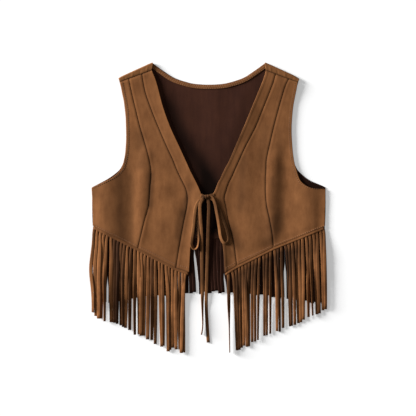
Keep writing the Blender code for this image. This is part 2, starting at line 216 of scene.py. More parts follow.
# The facing inside the back neck: how far in it starts, its width, its grid's lines and which are stitched
FACING_EDGE, FACING_WIDTH, FACING_STATIONS = 1.0, 7.5, 70
FACING_LINES = (0, 0.1, 0.3, 0.5, 1.2, 1.9, 2.5, 3.75, 5.0, 5.7, 6.3, 7.0, 7.2, 7.4, 7.5)
FACING_STITCHED, STITCHED_STATIONS = (5, -6), slice(4, -4)

# Edges: how far in from them a grid has its lines, how far in stitches lie, and their groove's half width
ROUND = CLOTH / 2
SEAM_LINES = (0, 0.1, 0.35, 0.7, 1.3, 2.2, 3.4, 5.0)
EDGE_LINES = (0, 0.1, 0.35, 0.7, 1.5, 2.6, 3.6, 4.3, 5.0, 5.7, 6.6, 8.0)
STITCH_LINE, GROOVE = 5.0, 0.8
# Rows to each step of t, the step that a line's speed is taken over, and how far even rows keep from others
LINE_STEPS, SPEED_STEP, ROW_CLEARANCE = 8, 0.05, 0.03
# A distance at which an edge does nothing, and the darkest painted shade that the fronts and the back may
# have
FAR = 99.0
FRONT_DARKEST, BACK_DARKEST = -0.75, -0.9

# Fringe. The outermost strands' room and a strand's width at its root, as shares of the strands' pitch
STRAND_SHARE, TOP_SHARE = 0.9, 0.82
# Its width half way down and at its tip, and how much narrower the strands about 105 mm across are
WIDE_SHARE = {"right": 1.15, "left": 0.96}
TIP_SHARE = {"right": 0.95, "left": 0.84}
NARROWER, NARROW_STRANDS = {"right": 0, "left": 0.2}, (105, 38)
# Roots: how far they are tucked in, their height over the front's underside, and how far the strands swing
# out below them, at which share of their length
ROOT_TUCK, ROOT_LIFT, ROOT_ARC, ARC_AT = 1.6, 0.8, 1.6, 0.07
# The right side's outermost strands bow out: how far, and how many of them
OUTER_BOW, BOWED_STRANDS = 5.0, 1.4
# The painted shadow of a front's edge on its strands' roots, and where it is deepest (middle and half width)
ROOT_SHADE, SHADED_ROOTS = {"right": 0.0, "left": 0.8}, (105, 110)
# Tones: the darkest show the strands' reverse, and all are painted shade below the plain one and painted
# highlight above it. The one that leaves the suede as it is, their range, the one from which strands lie over
# the others, and the share of their length over which strands take on their own
PLAIN_TONE, TONE_RANGE, UPPER_TONE = 0.62, 0.75, 0.45
TONE_REACH = {"right": 0.12, "left": 0.5}
FRINGE_INSET, STRAND_STATIONS, FLOOR_CLEARANCE = 1, 26, 0.4
BACK_STRANDS, BACK_STRAND_WIDTH, BACK_ROLL, END_SCATTER = 64, 6.9, 0.15, 3.0
BACK_FRINGE_ENDS = (
    (-222, -185), (-155, -174), (-94, -168), (0, -161), (94, -168), (155, -174), (222, -185),
)
# Each strand from the vest's right to its left: its end (across, up), tone from dark 0 to light 1 (the face
# or reverse that shows, and painted shade or highlight), and twist
RIGHT_STRANDS = (
    (-222.5, -201, 0.35, -35), (-217, -208, 0.85, 0), (-211.5, -213, 0.95, 0), (-206.5, -213, 0.8, 0),
    (-200.5, -218, 0.85, 50), (-187, -220, 0.65, 10), (-181, -221, 0.15, 0), (-175, -223, 0.1, 20),
    (-169, -226, 0.2, 0), (-164.5, -229, 0.2, 25), (-160, -231, 0.62, 0), (-152, -235, 0.2, 15),
    (-142, -244, 0.4, 40), (-134, -243, 0.8, 0), (-130, -246, 0.75, 10), (-124.5, -246, 0.5, 0),
    (-117.5, -253, 0.5, 0), (-109.5, -254, 0.2, 20), (-102.5, -262, 0.35, 0), (-91, -267, 0.6, 0),
    (-88, -265, 0.5, 15), (-78, -276, 0.8, 0), (-75, -273, 0.45, 25), (-69, -269, 0.6, 0),
    (-63, -272, 0.7, 0), (-56, -272, 0.45, 20), (-48.5, -278, 0.7, 0), (-53, -279, 0.85, 0),
)
LEFT_STRANDS = (
    (40, -278, 0.5, 76), (54.5, -274, 0.45, 10), (59, -273, 0.2, 0), (63, -269, 0.35, 15),
    (67.5, -265, 0.75, 0), (72.5, -267, 0.6, 0), (76.5, -266, 0.3, 20), (83.5, -258, 0.5, 0),
    (88, -257, 0.5, 15), (94.5, -254, 0.6, 35), (107, -246, 0.4, 0), (111, -245, 0.4, 10),
    (118, -242, 0.45, 35), (131, -237, 0.8, 0), (136, -238, 0.15, 20), (142, -231, 0.25, 0),
    (156.5, -228, 0.15, 10), (159.5, -227, 0.2, 0), (165, -225, 0.5, 0), (172, -222, 0.4, 10),
    (176, -220, 0.75, 0), (182, -215, 0.78, 0), (191.5, -210, 0.85, 30), (199, -207, 0.55, 55),
    (207, -205, 0.78, 0), (211.5, -203, 0.7, 10), (219.5, -197, 0.78, 0), (224, -195, 0.68, 10),
)
# Where strands of the back part and show the surface: top across, foot across, top, foot, half width
PARTINGS = (
    (-25.4, -20.4, -76, -146, 2.7),
    (29, 33, -120, -175, 2.2),
    (-193.4, -193.4, -132, -190, 2.4),
    (146, 147, -104, -190, 2.8),
)
# The strips that the strands are cut from: their grids' lines, from the first edge, and their stations
FRONT_HEADER_LINES = (0, 0.1, 0.3, 0.6, 1.0, 1.4, 1.8, 2.4, 3.2, 4.2, 5.2, 5.8, 6.2, 6.4, 6.5)
BACK_HEADER_LINES = (0, 0.1, 0.3, 0.6, 2, 4, 6, 9, 12, 15, 17, 18.4, 18.7, 18.9, 19)
HEADER_STATIONS = 121
# The fronts': how far they are tucked under the hem, their height over the fronts' underside, and their
# painted shade, below 0, or painted highlight, above 0
HEADER_TUCK = 1.2
HEADER_LIFT = {"right": 1.0, "left": 0.95}
HEADER_SHADE = {"right": -0.06, "left": 0.06}
# The back's: how far it ends short of the sides and starts below the hem, and the wave of its lower edge
HEADER_SHORT, HEADER_FOOT, HEADER_WAVE = 3, 5, 2.1

# Laces: flat, tied in a bow, each row a point of its route (across, up, height, roll in degrees, tone:
# painted shade below 0 and painted highlight above it)
LACE_WIDTH, LACE_THICKNESS = 6.4, 1.2
LACES = {
    "lace_right": (
        (-15.5, 23.5, 6.2, 90, -0.2), (-10, 21.8, 6.4, 88, -0.75), (-6.5, 20.2, 6.2, 88, -0.8),
        (-12.6, 16.4, 6.4, 86, -0.5), (-20, 10.4, 6.4, 88, -0.05), (-25, 0, 6.1, 91, -0.06),
        (-27.4, -16, 6.1, 93, -0.08), (-29, -32, 6.3, 93, -0.1), (-30.6, -46, 6.5, 92, -0.12),
        (-32.6, -60, 6.6, 86, -0.12), (-33.4, -71, 6.7, 74, -0.1), (-28.4, -79.2, 6.7, 40, 0),
        (-22.2, -75.4, 6.3, 26, 0.1), (-20, -63, 5.6, 34, -0.3), (-20.4, -50, 5.2, 54, -0.6),
        (-20.6, -36, 5, 66, -0.65), (-20.4, -18, 4.9, 70, -0.5), (-19.6, -2, 4.9, 72, -0.45),
        (-15.4, 9, 5.4, 76, -0.4), (-10.2, 16.8, 6, 82, -0.7), (-9, 19.8, 6.4, 92, -0.7),
        (-13.2, 14.4, 7, 94, -0.3), (-16.4, 6.6, 7.2, 95, -0.1), (-16.8, -6, 7, 95, -0.12),
        (-15.6, -24, 6.8, 95, -0.22), (-14.3, -41, 6.6, 95, -0.12), (-13.8, -58, 6.2, 95, -0.25),
        (-13.4, -76, 5.6, 95, -0.3), (-13, -104, 4.2, 93, -0.4), (-12.6, -140, 3.4, 90, -0.45),
        (-12.3, -164, 3.2, 86, 0), (-12.3, -182, 3.4, 55, 0), (-11.9, -205, 3.6, 30, 0.1),
        (-11.7, -228, 3.7, 18, 0.1), (-14, -244, 3.7, 20, 0.1),
    ),
    "lace_left": (
        (11.5, 24.5, 6.2, 88, -0.3), (4, 22.8, 6.4, 88, -0.6), (-2.4, 20.6, 6.2, 60, -0.7),
        (0.6, 21.4, 7.2, -60, -0.35), (6.6, 18.6, 7.8, -68, -0.35), (11.6, 8, 7.6, -62, -0.55),
        (14.6, -8, 7.2, -60, -0.52), (17.6, -24, 7, -60, -0.35), (20.2, -41, 6.9, -60, -0.15),
        (22.4, -56, 6.9, -60, -0.1), (27, -66, 6.8, -62, -0.1), (33.4, -68.6, 6.4, -68, -0.2),
        (38.2, -63, 5.9, -76, -0.35), (37, -50, 5.7, -80, -0.48), (32.8, -36, 5.7, -80, -0.5),
        (27, -20, 5.8, -80, -0.45), (20.6, -2, 6, -78, -0.4), (14.4, 10, 6.2, -76, -0.3),
        (6.4, 16.8, 6.4, -82, -0.4), (-0.4, 20, 6, -90, -0.6), (-2.4, 18, 5.6, -90, -0.7),
        (-0.6, 11, 6, -88, -0.7), (0.2, 0, 6.2, -88, -0.66), (-0.2, -14, 6.2, -88, -0.62),
        (-1.1, -41, 5.8, -88, -0.65), (-2.1, -75, 5, -88, -0.52), (-3.1, -110, 4.1, -88, -0.42),
        (-4.1, -145, 3.4, -90, -0.3), (-4.9, -172, 2.9, -90, -0.05), (-4.8, -195, 1.3, -92, 0),
        (-3.4, -222, 1.05, -90, 0), (-1, -259, 1.05, -90, 0),
    ),
}
LACE_STEPS = 6
KNOT_TOP, KNOT_FOOT = (-11.6, 19.6, 6.2), (0.4, 21.4, 6.4)
KNOT_RADII, KNOT_TURNS, KNOT_STEPS, KNOT_LACE = (3.4, 2.8), 3, 24, 4.2
# The wound lace's wide way, and its painted shade at the knot's two ends
KNOT_ACROSS, KNOT_PAINTED_SHADES = (1.0, 0.12, 0.0), (-0.85, -0.5)

# A flat strip's section: share of its width and of its thickness, round by its edges
SECTION = np.array(
    [
        (-0.5, 0), (-0.43, 0.4), (-0.2, 0.5), (0.2, 0.5), (0.43, 0.4),
        (0.5, 0), (0.43, -0.4), (0.2, -0.5), (-0.2, -0.5), (-0.43, -0.4),
    ]
)

# Thread
STITCH_PITCH, STITCH_LENGTH, THREAD = 4.2, 3.0, 0.55

# Photo frame: it looks straight down
PIXEL, FRAME_PIXELS = 1.92, 416
FRAME_MIDDLE = (-1.6, -0.8)
CAMERA_HEIGHT, SENSOR = 4000, 36

# Light: one large soft lamp from the upper left, low enough to rake the nap, and white all round
KEY_FROM = (-0.93, 0.37, 0.235)
KEY_STRENGTH, KEY_ANGLE = 12.6, 22
FILL, FLOOR_GLOW = 0.24, 0.33
FLOOR_REACH, FLOOR_HEIGHT = 9000, -0.2
WHITE = (1, 1, 1, 1)

# Suedes: name, outer face and reverse as dark and light, brush strokes, grain, patches, and sheen and gloss
SUEDES = {
    "lace": ("suede_lace_cut_from_hide", ("4e3019", "805532"), ("2c1a14", "40281e"), (2.5, 14), 1.6, 9),
    "panel": ("suede_brushed_face", ("5a371d", "845734"), ("2a1812", "3d261c"), (8, 24), 1.9, 32),
    "strand": ("suede_cut_in_strands", ("4c2e18", "805330"), ("261711", "3a241a"), (2.5, 30), 2.0, 16),
    "back": (
        "suede_reverse_of_the_back", ("5a381f", "845936"), ("2b1813", "44281d"), (9, 60), 2.2, 60, 0.03, 0.05,
    ),
}
SIDES = (
    ("right", RIGHT_FRONT, RIGHT_STRANDS, RIGHT_RIDGES, RIGHT_CREASES, RIGHT_PAINTED_STREAKS, -1),
    ("left", LEFT_FRONT, LEFT_STRANDS, LEFT_RIDGES, LEFT_CREASES, LEFT_PAINTED_STREAKS, 1),
)


def smooth(value, low, high):
    """0 up to low, 1 from high on, and an S-shaped step between them."""
    share = np.clip((value - low) / (high - low), 0, 1)
    return share * share * (3 - 2 * share)


def bell(value, centre, half_width):
    """A bell of height 1: e to minus the square of the distance in half widths."""
    return np.exp(-(((value - centre) / half_width) ** 2))


def between(first, last, share):
    """The points at these shares of the way from one point to another."""
    first, last = np.asarray(first, float), np.asarray(last, float)
    return first + (last - first) * np.asarray(share, float)[..., None]


def unit(vectors):
    return vectors / np.linalg.norm(vectors, axis=-1, keepdims=True)


def gone(line):
    """Distance gone along a line at each of its points."""
    return np.concatenate([[0], np.linalg.norm(np.diff(line, axis=0), axis=1).cumsum()])


def curve(points, t, corner=None):
    """A smooth line through points, at t counted in points: cubic spans whose slopes are half the step from
    the point before to the point after, with a sharp turn at a corner."""
    points, t = np.asarray(points, float), np.asarray(t, float)
    parts = [points] if corner is None else [points[: corner + 1], points[corner:]]
    slopes = [np.gradient(part, axis=0) for part in parts]
    leave, arrive = np.vstack([s[:-1] for s in slopes]), np.vstack([s[1:] for s in slopes])
    span = np.clip(np.floor(t).astype(int), 0, len(points) - 2)
    u = (t - span)[:, None]
    return (
        (2 * u**3 - 3 * u**2 + 1) * points[span]
        + (u**3 - 2 * u**2 + u) * leave[span]
        + (3 * u**2 - 2 * u**3) * points[span + 1]
        + (u**3 - u**2) * arrive[span]
    )


def folds(x, y, ridges):
    """Ridges added up: each is a bell across the line from its top point to its foot point."""
    total = np.zeros(np.shape(x))
    for top, foot, half_width, height in ridges:
        along = np.subtract(foot, top)
        share = ((x - top[0]) * along[0] + (y - top[1]) * along[1]) / np.dot(along, along)
        share = np.clip(share, 0, 1)
        away = np.hypot(x - top[0] - share * along[0], y - top[1] - share * along[1])
        total += height * bell(away, 0, half_width)
    return total


def side_fade(x):
    return smooth(SIDE_SEAM - np.abs(x), 0, SIDE_FADE)


def front_underside(x, y, ridges):
    """A front's underside over the back, as its solid has it: ridges held under MOST_LIFT by a tanh."""
    lift = MOST_LIFT * np.tanh((LEAST_LIFT + folds(x, y, ridges)) / MOST_LIFT)
    return CLOTH + SEAM_GAP + lift * side_fade(x)


def edge_relief(distance, kind, rise=0):
    """Height that an edge adds, at a distance in from it: a seam pulls the cloth down beside a soft swell, a
    turned edge is doubled up to a groove for its stitches, and a hem also rises over the strands' roots."""
    if kind == "seam":
        return 0.08 * bell(distance, 4.2, 2.2) - 0.35 * bell(distance, 0, 1.7)
    turned = 1 - smooth(distance, STITCH_LINE - 0.8, STITCH_LINE + 2.2)
    relief = 0.3 * turned - 0.14 * bell(distance, STITCH_LINE, GROOVE)
    if kind == "hem":
        relief = relief + rise * (1 - smooth(distance, 2, 12))
    return relief


def edge_shade(distance, kind, rim=0.16):
    """Share by which an edge is darker, below 0, or lighter: painted shade in a seam and in the stitches'
    groove, and a rim painted lighter or darker as it is given.
    """
    if kind == "seam":
        return -0.46 * bell(distance, 0, 1.5)
    if kind == "hem":
        return rim * bell(distance, 0, 1.3)
    return rim * bell(distance, 0.6, 1.6) - 0.12 * bell(distance, STITCH_LINE, GROOVE)


def rounded(distance):
    """Share of the cloth's half thickness at a distance in from an edge: a quarter circle, then 1."""
    return np.sqrt(np.clip(1 - (1 - np.clip(distance / ROUND, 0, 1)) ** 2, 0, 1))


def spread(first, last, count, length):
    """Distances along lengths: the lines by the first end, count even ones, and the lines by the last."""
    length = np.asarray(length, float)[:, None]
    first, last = np.array(first)[None], np.array(last)[None]
    even = np.linspace(0, 1, count + 2)[None, 1:-1]
    start, stop = first[:, -1:], length - last[:, -1:]
    same = np.ones_like(length)
    return np.hstack([first * same, start + (stop - start) * even, length - last[:, ::-1]])


def quads(rows, columns):
    """Faces of a grid of points stored row after row."""
    corner = np.arange(rows * columns).reshape(rows, columns)
    turned = [corner[:-1, :-1], corner[1:, :-1], corner[1:, 1:], corner[:-1, 1:]]
    return np.stack(turned, axis=-1).reshape(-1, 4)


def normals(middle):
    """A grid's normals, of any length."""
    return np.cross(np.gradient(middle, axis=0), np.gradient(middle, axis=1))


def two_sided(middle, half):
    """Points, faces and side of cloth: its middle surface moved out both ways along its normals by half its
    thickness. Where that is nought, at its edges, both sides share one point. Side is 1 above and 0 below."""
    if normals(middle)[..., 2].mean() < 0:
        middle, half = middle[:, ::-1], half[:, ::-1]
    move = unit(normals(middle)) * half[..., None]
    inner = half > 0
    upper = np.arange(half.size)
    lower = upper.copy()
    lower[inner.ravel()] = half.size + np.arange(inner.sum())
    points = np.vstack([(middle + move).reshape(-1, 3), (middle - move)[inner]])
    faces = quads(*half.shape)
    side = np.concatenate([np.ones(half.size), np.zeros(inner.sum())])
    return points, np.vstack([upper[faces], lower[faces[:, ::-1]]]), side


def on_both_sides(values, half, middle):
    """Values of a grid, in the order of two_sided's points."""
    if normals(middle)[..., 2].mean() < 0:
        values, half = values[:, ::-1], half[:, ::-1]
    return np.concatenate([values.ravel(), values[half > 0]])


def add_piece(name, points, faces, material, slot, **attributes):
    """A piece that rides on the vest, from points in millimetres and faces, with attributes at its points."""
    mesh = bpy.data.meshes.new(name)
    mesh.from_pydata((points * MM).tolist(), [], faces)
    for attribute, values in attributes.items():
        layer = mesh.attributes.new(attribute, "FLOAT", "POINT")
        layer.data.foreach_set("value", np.asarray(values, np.float32))
    mesh.materials.append(material)
    mesh.shade_smooth()
    piece = bpy.data.objects.new(name, mesh)
    bpy.context.scene.collection.objects.link(piece)
    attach(piece, "root")
    return piece


def add_cloth(name, middle, half, material, slot, shade, outer=None):
    """A piece of cloth on its middle surface, closed all round. Its outer face shows above and its reverse
    below, or on both sides the face that outer gives."""
    half[[0, -1]] = 0
    half[:, [0, -1]] = 0
    points, faces, above = two_sided(middle, half)
    if outer is not None:
        above = np.full(len(above), outer)
    shade = on_both_sides(np.broadcast_to(shade, half.shape), half, middle)
    return add_piece(name, points, faces.tolist(), material, slot, outer=above, shade=shade)


def linear(code):
    """An sRGB hex colour as linear red, green, blue and alpha."""
    parts = [int(code[i : i + 2], 16) / 255 for i in (0, 2, 4)]
    return (*[c / 12.92 if c <= 0.04045 else ((c + 0.055) / 1.055) ** 2.4 for c in parts], 1)


def connect(tree, node, inputs):
    """Set a node's inputs, each to a value or to another node's output, given as a pair of the two."""
    for name, value in inputs.items():
        if isinstance(value, tuple) and isinstance(value[0], bpy.types.Node):
            tree.links.new(value[0].outputs[value[1]], node.inputs[name])
        else:
            node.inputs[name].default_value = value
    return node


def add_node(tree, kind, inputs, **settings):
    """Add a node with its settings and its inputs, each a value or an output."""
    made = tree.nodes.new(kind)
    for name, value in settings.items():
        setattr(made, name, value)
    return connect(tree, made, inputs)


def noise(tree, vector, scale, detail=2, roughness=0.5):
    """A noise texture."""
    inputs = {"Vector": vector, "Scale": scale, "Detail": detail, "Roughness": roughness}
    return add_node(tree, "ShaderNodeTexNoise", inputs)


def scaled(tree, source, by, added, clamp=False):
    """A number scaled, with another added to it."""
    inputs = {0: source, 1: by, 2: added}
    return add_node(tree, "ShaderNodeMath", inputs, operation="MULTIPLY_ADD", use_clamp=clamp)


def mixed(tree, share, first, second, kind="MIX"):
    """A mix of two colours, or their product."""
    inputs = {0: share, 6: first, 7: second}
    return add_node(tree, "ShaderNodeMix", inputs, data_type="RGBA", blend_type=kind)


def new_material(name):
    """A material with its node tree, its shader and its object coordinates."""
    made = bpy.data.materials.new(name)
    made.use_nodes = True
    tree = made.node_tree
    return made, tree, tree.nodes["Principled BSDF"], (add_node(tree, "ShaderNodeTexCoord", {}), "Object")


def suede(name, face, reverse, brushed, grain_size, mottle, sheen=0.12, gloss=0.1):
    """Split leather brushed to a nap: matt, with a soft sheen at its edges. Brushing leaves long light and
    dark strokes, handling leaves wider patches, and the fibres a fine grain.

    face and reverse are (dark, light) colours. An attribute outer says which face shows, and an attribute
    shade holds the painted shade, below 0, and painted highlight, above 0, that make a place darker or
    lighter. brushed is a stroke's width and length, grain_size a fibre's size and mottle a patch's, all in
    millimetres.
    """
    made, tree, shader, place = new_material(name)
    scale = (1 / (brushed[0] * MM), 1 / (brushed[1] * MM), 1 / (brushed[0] * MM))
    strokes = add_node(tree, "ShaderNodeMapping", {"Vector": place, "Scale": scale})
    nap = noise(tree, (strokes, 0), 1, 4, 0.6)
    patch = noise(tree, place, 1 / (mottle * MM), 3, 0.55)
    grain = noise(tree, place, 1 / (grain_size * MM), 2, 0.7)
    wide = scaled(tree, (patch, 0), 0.9, -0.23)
    long = scaled(tree, (nap, 0), 0.75, (wide, 0))
    fine = scaled(tree, (grain, 0), 0.4, (long, 0))
    level = scaled(tree, (fine, 0), 1, -0.3, True)
    under, over = (mixed(tree, (level, 0), *map(linear, pair)) for pair in (reverse, face))
    outer = add_node(tree, "ShaderNodeAttribute", {}, attribute_name="outer")
    shown = mixed(tree, (outer, "Fac"), (under, 2), (over, 2))
    shade = add_node(tree, "ShaderNodeAttribute", {}, attribute_name="shade")
    # Painted shade and highlight, multiplied into the colour
    lit = scaled(tree, (shade, "Fac"), 1, 1)
    colour = mixed(tree, 1, (shown, 2), (lit, 0), "MULTIPLY")
    bump = add_node(tree, "ShaderNodeBump", {"Strength": 0.35, "Distance": 0.4 * MM, "Height": (fine, 0)})
    inputs = {
        "Base Color": (colour, 2),
        "Normal": (bump, 0),
        "Roughness": 0.95,
        "Specular IOR Level": gloss,
        "Sheen Weight": sheen,
        "Sheen Roughness": 0.45,
        "Sheen Tint": linear("c08a5a"),
    }
    connect(tree, shader, inputs)
    return made


def thread_material():
    """Spun polyester thread: matt, a little darker than the suede it is sewn through, its plies 0.8 mm."""
    made, tree, shader, place = new_material("spun_polyester_thread")
    plies = noise(tree, place, 1 / (0.8 * MM), 1)
    colour = mixed(tree, (plies, 0), linear("54361f"), linear("7a5232"))
    connect(tree, shader, {"Base Color": (colour, 2), "Roughness": 0.7})
    return made


def front_lines(levels, side, t):
    """The four lines of a front at t, from the shoulder seam down to the hem."""
    neck, arm = (side * SEAM_NECK[0], SEAM_NECK[1]), (side * SEAM_ARM[0], SEAM_ARM[1])
    across = unit(np.subtract(arm, neck))
    down = np.array([side * across[1], -side * across[0]])
    seam = between(neck, arm, SEAM_SHARES) + down * SEAM_GAP
    names = ["shoulder", *levels]
    lines = []
    for i, line in enumerate(LINES):
        corner = names.index(CORNERS[line]) if line in CORNERS else None
        lines.append(curve([seam[i], *(row[i] for row in levels.values())], t, corner))
    return lines


def front_rows(levels, side):
    """t of each row of a front's grid, with close rows by its two ends, and each row's distance from them."""
    last = len(levels)
    ends = front_lines(levels, side, [0, SPEED_STEP, last - SPEED_STEP, last])
    top_speed = np.mean([np.linalg.norm(line[1] - line[0]) for line in ends]) / SPEED_STEP
    foot_speed = np.mean([np.linalg.norm(line[3] - line[2]) for line in ends]) / SPEED_STEP
    top, foot = np.array(SEAM_LINES) / top_speed, np.array(EDGE_LINES) / foot_speed
    even = np.arange(1, last * LINE_STEPS) / LINE_STEPS
    even = even[(even > top[-1] + ROW_CLEARANCE) & (even < last - foot[-1] - ROW_CLEARANCE)]
    t = np.concatenate([top, even, last - foot[::-1]])
    return t, t * top_speed, (last - t) * foot_speed


def front_panels(side_name, levels, ridges, creases, nap, side, material):
    """A front's three panels, each with its grid, and the lines along which the front is stitched. The grids
    lie between the front's lines, on its solids' form with creases and edge relief."""
    t, from_top, from_foot = front_rows(levels, side)
    lines = front_lines(levels, side, t)
    armpit = 1 + list(levels).index("armpit")
    stitch_row = EDGE_LINES.index(STITCH_LINE) + 1
    pieces, stitch_lines = {}, []
    for i, (panel, count) in enumerate(PANELS.items()):
        first, last = lines[i], lines[i + 1]
        kinds = ("turned" if i == 0 else "seam", "turned" if i == len(PANELS) - 1 else "seam")
        steps = [EDGE_LINES if kind == "turned" else SEAM_LINES for kind in kinds]
        inset = [0 if kind == "turned" else SEAM_GAP / 2 for kind in kinds]
        width = np.linalg.norm(last - first, axis=1)
        from_first = spread(*steps, count, width - sum(inset))
        from_last = (width - sum(inset))[:, None] - from_first
        share = (from_first + inset[0]) / width[:, None]
        flat = first[:, None] + (last - first)[:, None] * share[..., None]
        x, y = flat[..., 0], flat[..., 1]
        tall, low = from_top[:, None], from_foot[:, None]
        stitched = np.ones(len(t)) if kinds[1] == "seam" else 1 - smooth(t, armpit - 0.12, armpit + 0.12)
        stitched = stitched[:, None]
        relief = (
            edge_relief(from_first, kinds[0])
            + edge_relief(from_last, kinds[1]) * stitched
            + edge_relief(tall, "seam")
            + edge_relief(low, "hem", HEM_RISE[side_name])
            + folds(x, y, creases) * side_fade(x)
        )
        # Painted shade in seams and stitch grooves, and painted highlight or shade on the rims
        shade = (
            edge_shade(from_first, kinds[0], EDGE_RIM[side_name])
            + edge_shade(from_last, kinds[1]) * stitched
            + edge_shade(tall, "seam")
            + edge_shade(low, "hem", HEM_RIM[side_name])
            # nap holds the painted streaks of shade and highlight
            + folds(x, y, nap)
        )
        middle = np.dstack([flat, front_underside(x, y, ridges) + CLOTH / 2 + relief])
        half = ROUND * rounded(from_first) * rounded(from_last) * rounded(tall) * rounded(low)
        node = f"{panel}_{side_name}"
        shade = np.maximum(shade, FRONT_DARKEST)
        piece = add_cloth(f"{node}_suede", middle, half, material, "suede", shade)
        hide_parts(node)
        pieces[node] = (piece, middle)
        surface = middle + UP * ROUND
        stitch_lines.append(surface[-stitch_row])
        if kinds[1] == "turned":
            stitch_lines.append(surface[: t.searchsorted(armpit), -stitch_row])
    return pieces, stitch_lines


def shoulder_radius():
    """Half the height from the middle of the back's cloth to that of the strip rolled over the shoulder."""
    return front_underside(*between(SEAM_NECK, SEAM_ARM, 0.5), LEFT_RIDGES) / 2


def back_edges(t):
    """The back half's centre and neck line, and its side and armhole line, at t from hem to shoulder fold."""
    along = unit(np.subtract(FOLD_ARM, FOLD_NECK))
    outward = np.array([-along[1], along[0]])
    reach = outward * (shoulder_radius() + CLOTH / 2)
    names = list(BACK_HALF)
    inner = [row[0] for row in BACK_HALF.values()] + [FOLD_NECK - reach]
    outer = [row[1] for row in BACK_HALF.values()] + [FOLD_ARM - reach]
    return curve(inner, t, names.index("neck")), curve(outer, t, names.index("armpit")), outward


def distance_to(points, line):
    """The least distance of each point from a line of straight runs, in the plane of the surface."""
    start, run = line[:-1], np.diff(line, axis=0)
    away = points[..., None, :] - start
    share = np.clip((away * run).sum(-1) / (run * run).sum(-1), 0, 1)
    return np.linalg.norm(away - share[..., None] * run, axis=-1).min(axis=-1)


def inside_shade(x, y):
    """Share by which the back's inner face is darker, as painted shadow: a wide soft band beside the right
    front's edge, a narrow one beside the left's, the foot of the V, the gap below it and the armholes."""
    bands = []
    for levels, (depth, start, end) in ((RIGHT_FRONT, RIGHT_SHADE), (LEFT_FRONT, LEFT_SHADE)):
        edge = distance_to(np.dstack([x, y]), np.array([row[0] for row in levels.values()], float))
        bands.append((edge, depth * (1 - smooth(edge, start, end))))
    (edge, wide), (_, narrow) = bands
    wide = wide * (0.1 + 0.9 * smooth(edge, 0, 11)) * (1 - 0.7 * smooth(y, 190, 235))
    beside = (wide + narrow) * (0.3 + 0.7 * smooth(y, 60, 125))
    foot = 0.85 * (1 - smooth(y, 50, 150)) * bell(x + 14 - 0.25 * (110 - y), 0, 22)
    gap = 0.4 * (1 - smooth(y, 10, 60)) * (np.abs(x) < 60)
    armhole = (0.1 * smooth(np.abs(x), 150, 165) + 0.65 * smooth(x, 160, 200)) * (1 - smooth(y, 70, 110))
    return beside + foot + gap + armhole


def shoulder_rows(fold, share, width, outward, side):
    """The back's middle surface past a shoulder's fold: a half turn, then a strip down to the seam. With it,
    how far the strip's last rows are from the seam."""
    rows, radius = [], shoulder_radius()
    for turn in np.linspace(0, math.pi, ROLL_TURNS + 1)[1:]:
        over = fold + outward * radius * math.sin(turn)
        rows.append(np.column_stack([over, np.full(len(over), CLOTH / 2 + radius * (1 - math.cos(turn)))]))
    top = rows[-1]
    seam = between(SEAM_NECK, SEAM_ARM, share) * (side, 1)
    foot = np.column_stack([seam, front_underside(seam[:, 0] * side, seam[:, 1], LEFT_RIDGES) + CLOTH / 2])
    length = np.linalg.norm(foot - top, axis=1).mean()
    near = np.array(SEAM_LINES[::-1])
    near = near[near < length * 0.8]
    for step in np.concatenate([np.linspace(0, length - near[0], STRIP_STEPS)[1:-1], length - near]):
        row = top + (foot - top) * step / length
        for place, half_width, height in TUCKS:
            tuck = height * bell(share * width, place * width, half_width)
            row[:, 2] += tuck * math.sin(math.pi * step / length)
        row[:, 2] += edge_relief(length - step, "seam")
        rows.append(row)
    return rows, near


